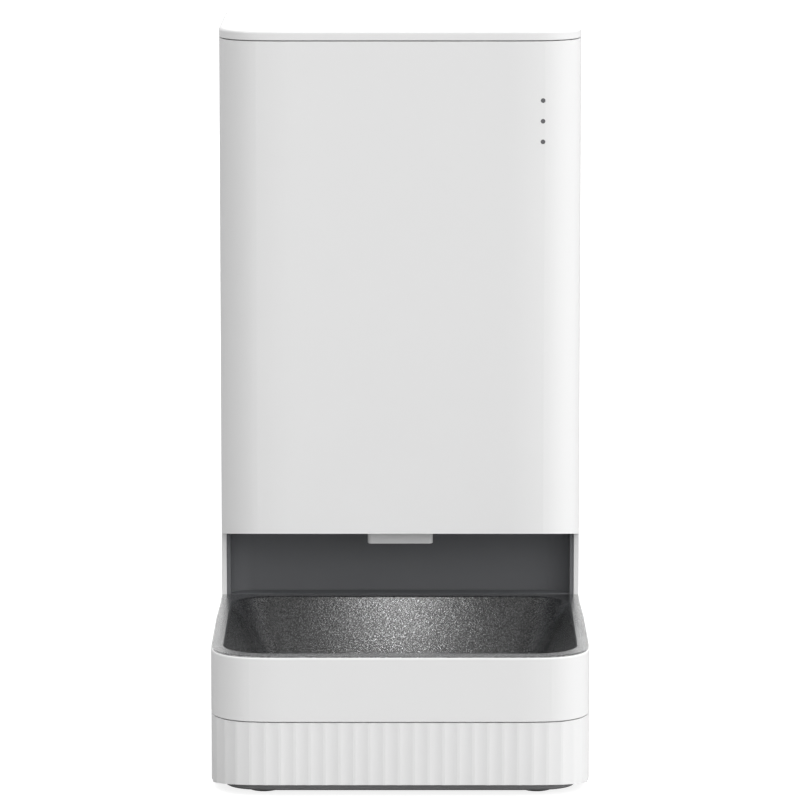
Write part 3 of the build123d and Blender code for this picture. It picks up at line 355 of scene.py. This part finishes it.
def roundedEnd(tree, bar, length, amount, sharpness, upper):
    # Draws a bar in towards its end, the upper one or both, as a moulded or stamped edge is.
    place = addNode(tree, "GeometryNodeInputPosition").outputs[0]
    parts = addNode(tree, "ShaderNodeSeparateXYZ")
    link(tree, place, parts.inputs[0])
    along = mathNode(tree, "DIVIDE", parts.outputs["Z"], mathNode(tree, "MULTIPLY", length, 0.5))
    if upper:
        along = mathNode(tree, "MAXIMUM", along, 0.0)
    else:
        along = mathNode(tree, "ABSOLUTE", along)
    drawn = mathNode(tree, "MULTIPLY", mathNode(tree, "POWER", along, sharpness), -amount)
    scale = mathNode(tree, "SQRT", mathNode(tree, "ADD", drawn, 1.0))
    x = mathNode(tree, "MULTIPLY", parts.outputs["X"], scale)
    y = mathNode(tree, "MULTIPLY", parts.outputs["Y"], scale)
    moved = addNode(tree, "GeometryNodeSetPosition")
    setInputs(tree, moved, {"Geometry": bar, "Position": combine(tree, x, y, parts.outputs["Z"])})
    return moved.outputs[0]


def shifted(tree, shape, z):
    node = addNode(tree, "GeometryNodeTransform")
    setInputs(tree, node, {"Geometry": shape, "Translation": combine(tree, 0.0, 0.0, z)})
    return node.outputs[0]


def cutAway(tree, shape, tools):
    node = addNode(tree, "GeometryNodeMeshBoolean", operation="DIFFERENCE", solver="EXACT")
    link(tree, shape, node.inputs["Mesh 1"])
    for tool in tools:
        link(tree, tool, node.inputs["Mesh 2"])
    return node.outputs["Mesh"]


def joined(tree, shapes):
    node = addNode(tree, "GeometryNodeJoinGeometry")
    for shape in shapes:
        link(tree, shape, node.inputs[0])
    return node.outputs[0]


def placedOnPoints(tree, given, result, shape, rotation):
    spread = addNode(tree, "GeometryNodeInstanceOnPoints")
    setInputs(tree, spread, {"Points": given.outputs["Geometry"], "Instance": shape, "Rotation": rotation})
    real = addNode(tree, "GeometryNodeRealizeInstances")
    link(tree, spread.outputs[0], real.inputs[0])
    finish = addNode(tree, "GeometryNodeSetMaterial")
    setInputs(tree, finish, {"Geometry": real.outputs[0], "Material": given.outputs["Material"]})
    link(tree, finish.outputs[0], result.inputs[0])


def growPiece(name, tree, points, values, slot, body, replaced=()):
    # Runs a tree on some points, keeps the result as a plain mesh and lets it ride on its body.
    mesh = bpy.data.meshes.new(name + "Points")
    mesh.from_pydata([tuple(point) for point in points], [], [])
    seed = bpy.data.objects.new(name + "Points", mesh)
    scene.collection.objects.link(seed)
    modifier = seed.modifiers.new("grow", "NODES")
    modifier.node_group = tree
    values = {**values, "Material": materials[slot]}
    for socket in tree.interface.items_tree:
        if socket.in_out == "INPUT" and socket.name in values:
            modifier[socket.identifier] = values[socket.name]
    solid = bpy.data.meshes.new_from_object(seed.evaluated_get(bpy.context.evaluated_depsgraph_get()))
    solid.name = name
    bpy.data.objects.remove(seed)
    return finishPiece(name, solid, slot, body, replaced)


def finishPiece(name, solid, slot, body, replaced=()):
    shape = bmesh.new()
    shape.from_mesh(solid)
    bmesh.ops.recalc_face_normals(shape, faces=shape.faces)
    shape.to_mesh(solid)
    shape.free()
    solid.materials.clear()
    solid.materials.append(materials[slot])
    piece = bpy.data.objects.new(name, solid)
    scene.collection.objects.link(piece)
    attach(piece, body)
    if replaced:
        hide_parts(*replaced)
    return piece


def solidBoxes(name):
    # Lowest and highest corner of each separate solid in a CAD node.
    shape = bmesh.new()
    shape.from_mesh(nodes[name].data)
    bmesh.ops.remove_doubles(shape, verts=shape.verts, dist=1e-6)
    waiting = set(shape.verts)
    boxes = []
    while waiting:
        reached = [waiting.pop()]
        for vertex in reached:
            for edge in vertex.link_edges:
                other = edge.other_vert(vertex)
                if other in waiting:
                    waiting.remove(other)
                    reached.append(other)
        low = Vector([min(vertex.co[axis] for vertex in reached) for axis in range(3)])
        high = Vector([max(vertex.co[axis] for vertex in reached) for axis in range(3)])
        boxes.append((low, high))
    shape.free()
    return sorted(boxes, key=lambda box: tuple(box[0]))


# Screws with a cross recess and a threaded shank

screwLook = {
    "headHeight": 0.0016,
    "shank": 0.0015,
    "headSides": 40,
    "headRings": 8,
    "edge": 0.5,            # how far the head's top edge is rounded
    "sharpness": 4.0,
    "recessLength": 0.62,   # of the head's width
    "recessWidth": 0.0007,
    "recessDepth": 0.0010,
    "threadPitch": 0.0007,
    "threadRoot": 0.78,     # of the shank's radius
    "threadSides": 24,
    "seed": 7,
    "rows": {               # which way the heads face
        "plate_screws": (0, 0, -1),
        "frame_screws": (0, 0, 1),
        "cup_screws": (0, 0, 1),
        "motor_screws": (0, 0, 1),
        "gear_plate_screws": (0, 0, 1),
        "board_screws": (0, -1, 0),
    },
}


def makeScrewTree(look):
    tree, given, result = newGeometryTree("crossScrews", {
        "Head Radius": "Float", "Head Height": "Float", "Shank Radius": "Float", "Length": "Float",
        "Way": "Vector", "Seed": "Int", "Material": "Material"})
    headRadius, headHeight = given.outputs["Head Radius"], given.outputs["Head Height"]
    head = turnedBar(tree, headRadius, headHeight, look["headSides"], look["headRings"])
    head = roundedEnd(tree, head, headHeight, look["edge"], look["sharpness"], True)
    reach = mathNode(tree, "MULTIPLY", headRadius, 2 * look["recessLength"])
    slots = []
    for x, y in ((reach, look["recessWidth"]), (look["recessWidth"], reach)):
        slot = addNode(tree, "GeometryNodeMeshCube")
        setInputs(tree, slot, {"Size": combine(tree, x, y, 2 * look["recessDepth"])})
        slots.append(shifted(tree, slot.outputs["Mesh"], mathNode(tree, "MULTIPLY", headHeight, 0.5)))
    head = shifted(tree, cutAway(tree, head, slots), mathNode(tree, "MULTIPLY", headHeight, 0.5))

    turns = mathNode(tree, "FLOOR", mathNode(tree, "DIVIDE", given.outputs["Length"], look["threadPitch"]))
    pitch = mathNode(tree, "DIVIDE", given.outputs["Length"], turns)
    root = mathNode(tree, "MULTIPLY", given.outputs["Shank Radius"], look["threadRoot"])
    turn = addNode(tree, "GeometryNodeMeshCone", fill_type="NGON")
    setInputs(tree, turn, {"Vertices": look["threadSides"], "Radius Top": given.outputs["Shank Radius"],
                           "Radius Bottom": root, "Depth": pitch})
    line = addNode(tree, "GeometryNodeMeshLine")
    downwards = combine(tree, 0.0, 0.0, mathNode(tree, "MULTIPLY", pitch, -1.0))
    setInputs(tree, line, {"Count": turns, "Start Location": downwards, "Offset": downwards})
    thread = addNode(tree, "GeometryNodeInstanceOnPoints")
    setInputs(tree, thread, {"Points": line.outputs["Mesh"], "Instance": turn.outputs["Mesh"]})
    screw = joined(tree, (head, thread.outputs[0]))

    facing = addNode(tree, "FunctionNodeAlignRotationToVector", axis="Z")
    link(tree, given.outputs["Way"], facing.inputs["Vector"])
    spin = addNode(tree, "FunctionNodeRandomValue", data_type="FLOAT")
    spin.inputs[3].default_value = math.pi / 2      # a cross looks the same after a quarter turn
    link(tree, given.outputs["Seed"], spin.inputs["Seed"])
    own = addNode(tree, "FunctionNodeEulerToRotation")
    link(tree, combine(tree, 0.0, 0.0, spin.outputs[1]), own.inputs[0])
    turned = addNode(tree, "FunctionNodeRotateRotation", rotation_space="LOCAL")
    setInputs(tree, turned, {"Rotation": facing.outputs[0], "Rotate By": own.outputs[0]})
    placedOnPoints(tree, given, result, screw, turned.outputs[0])
    return tree


def makeScrews(look):
    tree = makeScrewTree(look)
    for name, facing in look["rows"].items():
        way = Vector(facing)
        boxes = solidBoxes(name)
        size = boxes[0][1] - boxes[0][0]
        length = abs(size.dot(way)) - look["headHeight"]
        across = max(value for axis, value in enumerate(size) if not facing[axis])
        seats = []
        for low, high in boxes:
            middle = (low + high) / 2
            face = high if sum(facing) > 0 else low
            top = Vector([face[axis] if facing[axis] else middle[axis] for axis in range(3)])
            seats.append(top - way * look["headHeight"])
        values = {"Head Radius": across / 2, "Head Height": look["headHeight"],
                  "Shank Radius": look["shank"], "Length": length, "Way": facing, "Seed": look["seed"]}
        growPiece(name + "_cross", tree, seats, values, "steel", "housing", (name,))


makeScrews(screwLook)
print("screws made")


# Rubber feet with a rounded edge and ring grooves underneath

footLook = {
    "edge": 0.234,
    "sharpness": 9.0,
    "sides": 64,
    "rings": 16,
    "grooves": ((0.0056, 0.0048), (0.0032, 0.0024)),    # outer and inner radius
    "grooveDepth": 0.0006,
}


def makeFeet(look):
    inputs = {"Radius": "Float", "Height": "Float", "Material": "Material"}
    tree, given, result = newGeometryTree("groovedFeet", inputs)
    height = given.outputs["Height"]
    pad = turnedBar(tree, given.outputs["Radius"], height, look["sides"], look["rings"])
    pad = roundedEnd(tree, pad, height, look["edge"], look["sharpness"], True)
    rings = []
    for outer, inner in look["grooves"]:
        ring = turnedBar(tree, outer, 2 * look["grooveDepth"], look["sides"], 1)
        core = turnedBar(tree, inner, 4 * look["grooveDepth"], look["sides"], 1)
        ring = cutAway(tree, ring, [core])
        rings.append(shifted(tree, ring, mathNode(tree, "MULTIPLY", height, 0.5)))
    pad = cutAway(tree, pad, rings)
    facing = addNode(tree, "FunctionNodeAlignRotationToVector", axis="Z")
    facing.inputs["Vector"].default_value = (0, 0, -1)
    placedOnPoints(tree, given, result, pad, facing.outputs[0])
    boxes = solidBoxes("rubber_feet")
    size = boxes[0][1] - boxes[0][0]
    middles = [(low + high) / 2 for low, high in boxes]
    values = {"Radius": size.x / 2, "Height": size.z}
    growPiece("grooved_feet", tree, middles, values, "foot_rubber", "housing", ("rubber_feet",))


makeFeet(footLook)
print("feet made")


# Ribs for a fingertip on the battery door's underside

gripLook = {
    "count": 7,
    "pitch": 0.0024,
    "length": 0.034,
    "radius": 0.0007,
    "fromRear": 0.022,
    "sunk": 0.0002,
    "sides": 20,
    "rings": 24,
    "edge": 0.9,
    "sharpness": 24.0,
}


def makeGrip(look):
    inputs = {"Radius": "Float", "Length": "Float", "Material": "Material"}
    tree, given, result = newGeometryTree("gripRibs", inputs)
    rib = turnedBar(tree, given.outputs["Radius"], given.outputs["Length"], look["sides"], look["rings"])
    rib = roundedEnd(tree, rib, given.outputs["Length"], look["edge"], look["sharpness"], False)
    facing = addNode(tree, "FunctionNodeAlignRotationToVector", axis="Z")
    facing.inputs["Vector"].default_value = (1, 0, 0)
    placedOnPoints(tree, given, result, rib, facing.outputs[0])
    low, high = (Vector(corner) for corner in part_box("battery_door"))
    spots = [((low.x + high.x) / 2, high.y - look["fromRear"] - index * look["pitch"], low.z + look["sunk"])
             for index in range(look["count"])]
    values = {"Radius": look["radius"], "Length": look["length"]}
    growPiece("door_grip_ribs", tree, spots, values, "underside_grey", "bay_door")


makeGrip(gripLook)
print("grip ribs made")


# Drying sachet: a crowned paper pouch with crimped seams

sachetLook = {
    "steps": 72,
    "seam": 0.10,           # width of the crimped seam, of half the pouch
    "paper": 0.0003,
    "crimp": 0.00012,
    "crimpWaves": 44,
    "fullness": 0.42,       # lower is fuller
    "lump": 0.09,           # beads that press through
    "lumpScale": 13,
    "lumpSlice": 0.3,
    "drawnIn": 0.05,        # how far the sides pull in between the corners
    "fill": 0.6,
}


def pouchHeights(u, v, look, halfHeight):
    # Heights of the upper and the lower skin at a place from -1 to 1 each way.
    thick = look["paper"] / 2
    fromSide, fromEnd = 1 - abs(u), 1 - abs(v)
    if min(fromSide, fromEnd) <= look["seam"]:
        along = u if fromEnd < fromSide else v
        wave = look["crimp"] * math.sin(math.pi * look["crimpWaves"] * along)
        return wave + thick, wave - thick
    inner = 1 - look["seam"]
    crown = ((1 - (u / inner) ** 2) * (1 - (v / inner) ** 2)) ** look["fullness"]
    lumps = noise.noise(Vector((u, v, look["lumpSlice"])) * look["lumpScale"])
    beads = 1 - look["lump"] * (0.5 + 0.5 * lumps)
    return halfHeight * crown * beads + thick, -halfHeight * crown * beads ** 0.5 - thick


def makeSachet(look):
    low, high = (Vector(corner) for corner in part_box("desiccant_sachet"))
    middle, half = (low + high) / 2, (high - low) / 2
    shape = bmesh.new()
    skins = []
    steps = look["steps"]
    for side in (0, 1):
        rows = []
        for row in range(steps + 1):
            v = 2 * row / steps - 1
            line = []
            for column in range(steps + 1):
                u = 2 * column / steps - 1
                x = u * half.x * (1 - look["drawnIn"] * (1 - v * v))
                y = v * half.y * (1 - look["drawnIn"] * (1 - u * u))
                z = pouchHeights(u, v, look, half.z - 2 * look["paper"])[side]
                line.append(shape.verts.new(middle + Vector((x, y, z))))
            rows.append(line)
        skins.append(rows)
    for rows in skins:
        for near, far in zip(rows, rows[1:]):
            for column in range(steps):
                shape.faces.new((near[column], near[column + 1], far[column + 1], far[column]))
    upper, lower = skins
    for step in range(steps):
        for first, second in (((0, step), (0, step + 1)), ((steps, step), (steps, step + 1)),
                              ((step, 0), (step + 1, 0)), ((step, steps), (step + 1, steps))):
            shape.faces.new((upper[first[0]][first[1]], upper[second[0]][second[1]],
                             lower[second[0]][second[1]], lower[first[0]][first[1]]))
    pouch = bpy.data.meshes.new("drying_pouch")
    shape.to_mesh(pouch)
    shape.free()
    for face in pouch.polygons:
        face.use_smooth = True
    piece = finishPiece("drying_pouch", pouch, "sachet_paper", "lid", ("desiccant_sachet",))


makeSachet(sachetLook)
print("sachet made")


# Floor, world and lights

studio = {
    "floorSize": 40.0,
    "floorDrop": 0.0001,    # a hair under the feet, so that the two faces don't coincide
    "floorColour": (0.30, 0.30, 0.30),
    "floorRoughness": 0.9,
    "floorGloss": 0.1,
    "floorGlow": 0.85,      # keeps the floor white to the eye
    "ambient": 0.10,
    "softboxes": (          # direction, strength, how narrow
        ((0.0, 0.0, 1.0), 1.75, 2.0),       # overhead
        ((0.0, -0.69, 0.72), 1.40, 4.0),    # high in front
        ((1.0, -0.25, 0.10), 2.98, 3.0),    # from the right
        ((-0.25, 1.0, 0.30), 0.85, 2.0),    # fill from behind
    ),
    "background": 1.0,
    "mirrorZenith": 0.05,   # polished surfaces mirror a dark ceiling
    "mirrorHorizon": 1.75,  # over a white backdrop
    "mirrorFall": 4.0,      # how fast the backdrop darkens upwards
    "bounceShare": 0.6,     # of the plain light that reaches other pieces by way of polished ones
}


def makeFloor(look):
    mesh = bpy.data.meshes.new("studioFloor")
    half = look["floorSize"] / 2
    corners = ((-half, -half), (half, -half), (half, half), (-half, half))
    mesh.from_pydata([(x, y, -look["floorDrop"]) for x, y in corners], [], [(0, 1, 2, 3)])
    floor = bpy.data.objects.new("studioFloor", mesh)
    scene.collection.objects.link(floor)
    material = bpy.data.materials.new("paleFloor")
    material.use_nodes = True
    tree = material.node_tree
    shader = tree.nodes["Principled BSDF"]
    shader.inputs["Base Color"].default_value = (*look["floorColour"], 1)
    shader.inputs["Roughness"].default_value = look["floorRoughness"]
    shader.inputs["Specular IOR Level"].default_value = look["floorGloss"]
    shader.inputs["Emission Color"].default_value = (1, 1, 1, 1)
    seen = addNode(tree, "ShaderNodeLightPath")
    glow = mathNode(tree, "MULTIPLY", seen.outputs["Is Camera Ray"], look["floorGlow"])
    link(tree, glow, shader.inputs["Emission Strength"])
    mesh.materials.append(material)


def makeWorld(look):
    world = bpy.data.worlds.new("softStudio")
    scene.world = world
    world.use_nodes = True
    tree = world.node_tree
    tree.nodes.clear()
    place = addNode(tree, "ShaderNodeTexCoord")
    parts = addNode(tree, "ShaderNodeSeparateXYZ")
    link(tree, place.outputs["Generated"], parts.inputs[0])
    gathered = look["ambient"]
    for direction, power, narrow in look["softboxes"]:
        facing = addNode(tree, "ShaderNodeVectorMath", operation="DOT_PRODUCT")
        link(tree, place.outputs["Generated"], facing.inputs[0])
        facing.inputs[1].default_value = Vector(direction).normalized()
        glow = mathNode(tree, "POWER", mathNode(tree, "MAXIMUM", facing.outputs["Value"], 0.0), narrow)
        gathered = mathNode(tree, "ADD", mathNode(tree, "MULTIPLY", glow, power), gathered)

    low = mathNode(tree, "SUBTRACT", 1.0, mathNode(tree, "ABSOLUTE", parts.outputs["Z"]))
    low = mathNode(tree, "POWER", low, look["mirrorFall"])
    level = mathNode(tree, "MULTIPLY", low, look["mirrorHorizon"] - look["mirrorZenith"])
    reflected = mathNode(tree, "ADD", level, look["mirrorZenith"])

    # What the camera sees mirrored gets the dark ceiling, and light that bounces
    # off steel gets only a share of it.
    seen = addNode(tree, "ShaderNodeLightPath")
    bounced = mathNode(tree, "MULTIPLY", seen.outputs["Diffuse Depth"], look["bounceShare"])
    direct = mathNode(tree, "SUBTRACT", 1.0, bounced, clamp=True)
    mirrored = addNode(tree, "ShaderNodeMix", data_type="FLOAT")
    link(tree, mathNode(tree, "MULTIPLY", seen.outputs["Is Glossy Ray"], direct), mirrored.inputs[0])
    link(tree, gathered, mirrored.inputs[2])
    link(tree, reflected, mirrored.inputs[3])
    strength = addNode(tree, "ShaderNodeMix", data_type="FLOAT")
    link(tree, seen.outputs["Is Camera Ray"], strength.inputs[0])
    link(tree, mirrored.outputs[0], strength.inputs[2])
    strength.inputs[3].default_value = look["background"]
    light = addNode(tree, "ShaderNodeBackground")
    light.inputs["Color"].default_value = (1, 1, 1, 1)
    link(tree, strength.outputs[0], light.inputs["Strength"])
    output = addNode(tree, "ShaderNodeOutputWorld")
    link(tree, light.outputs[0], output.inputs["Surface"])


softLights = {
    "overBowl": {
        "place": (0.0, -0.168, 0.272), "aim": (0.0, -0.002, 0.060),
        "size": (0.016, 0.05), "power": 0.00034, "spread": 26},
}


def makeSoftLight(name, look):
    data = bpy.data.lights.new(name, "AREA")
    data.shape = "RECTANGLE"
    data.size, data.size_y = look["size"]
    data.energy = look["power"]
    data.spread = math.radians(look["spread"])
    light = bpy.data.objects.new(name, data)
    scene.collection.objects.link(light)
    light.location = look["place"]
    light.visible_camera = False
    aim = Vector(look["aim"]) - Vector(look["place"])
    light.rotation_euler = aim.to_track_quat("-Z", "Y").to_euler()


makeFloor(studio)
makeWorld(studio)
for name, look in softLights.items():
    makeSoftLight(name, look)
scene.view_settings.view_transform = "Standard"
print("floor, world and lights set")
